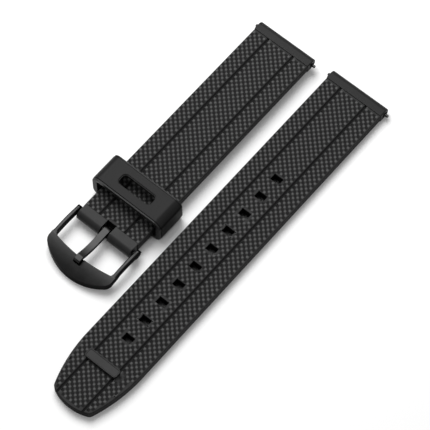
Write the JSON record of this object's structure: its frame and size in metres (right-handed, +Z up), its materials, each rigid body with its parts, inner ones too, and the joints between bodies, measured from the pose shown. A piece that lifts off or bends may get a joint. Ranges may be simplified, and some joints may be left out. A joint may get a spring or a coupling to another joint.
{
  "type": "watch strap",
  "caption": "Two-piece moulded rubber watch strap with pin buckle, sliding keeper and quick-release spring bars.",
  "frame": {"origin": "on the rest plane, below the centre of the bounding box of both halves as they lie", "axes": "+Z up out of the rest plane, towards the strap's outer face; +Y along the strap towards the lug ends; +X from the buckle half to the tail half"},
  "size_m": [0.0488, 0.1254, 0.0096],
  "materials": {
    "strap_rubber": "matt moulded, pebbled on top",
    "keeper_rubber": "satin moulded",
    "black_steel": "satin black coating",
    "steel": "turned"
  },
  "bodies": {
    "buckle_half": {"buckle_strap": "strap_rubber", "buckle_bar_tube": "steel", "buckle_bar_spring": "steel", "release_tube_a": "steel", "release_fixed_tip_a": "steel", "release_spring_a": "steel"},
    "keeper": {"keeper": "keeper_rubber"},
    "buckle": {"buckle_frame": "black_steel"},
    "tongue": {"tongue": "black_steel"},
    "buckle_pin_left": {"buckle_bar_pin_left": "steel"},
    "buckle_pin_right": {"buckle_bar_pin_right": "steel"},
    "release_a": {"release_pin_a": "steel", "release_knob_a": "steel"},
    "tail_half": {"tail_strap": "strap_rubber", "release_tube_b": "steel", "release_fixed_tip_b": "steel", "release_spring_b": "steel"},
    "release_b": {"release_pin_b": "steel", "release_knob_b": "steel"}
  },
  "joints": [
    {"name": "keeper_slide", "type": "slide", "parent": "buckle_half", "child": "keeper", "axis": [0, 1, 0], "range_m": [-0.002, 0.045]},
    {"name": "buckle_hinge", "type": "hinge", "parent": "buckle_half", "child": "buckle", "pos_m": [-0.012, -0.0179, 0.0032], "axis": [-1, 0, 0], "range_deg": [0, 80]},
    {"name": "tongue_hinge", "type": "hinge", "parent": "buckle", "child": "tongue", "pos_m": [-0.012, -0.0179, 0.0032], "axis": [-1, 0, 0], "range_deg": [0, 40]},
    {"name": "buckle_pin_left_push", "type": "slide", "parent": "buckle_half", "child": "buckle_pin_left", "axis": [1, 0, 0], "range_m": [0, 0.001], "stiffness_N_per_m": 300, "springref_m": -0.0008, "deforming": ["buckle_bar_spring"]},
    {"name": "buckle_pin_right_push", "type": "slide", "parent": "buckle_half", "child": "buckle_pin_right", "axis": [-1, 0, 0], "range_m": [0, 0.001], "stiffness_N_per_m": 300, "springref_m": -0.0008, "deforming": ["buckle_bar_spring"]},
    {"name": "release_a_pull", "type": "slide", "parent": "buckle_half", "child": "release_a", "axis": [-1, 0, 0], "range_m": [0, 0.0013], "stiffness_N_per_m": 300, "springref_m": -0.001, "deforming": ["release_spring_a"]},
    {"name": "tail_lift", "type": "slide", "parent": "buckle_half", "child": "tail_half", "axis": [0, 0, 1], "range_m": [0, 0.03]},
    {"name": "release_b_pull", "type": "slide", "parent": "tail_half", "child": "release_b", "axis": [-1, 0, 0], "range_m": [0, 0.0013], "stiffness_N_per_m": 300, "springref_m": -0.001, "deforming": ["release_spring_b"]}
  ]
}
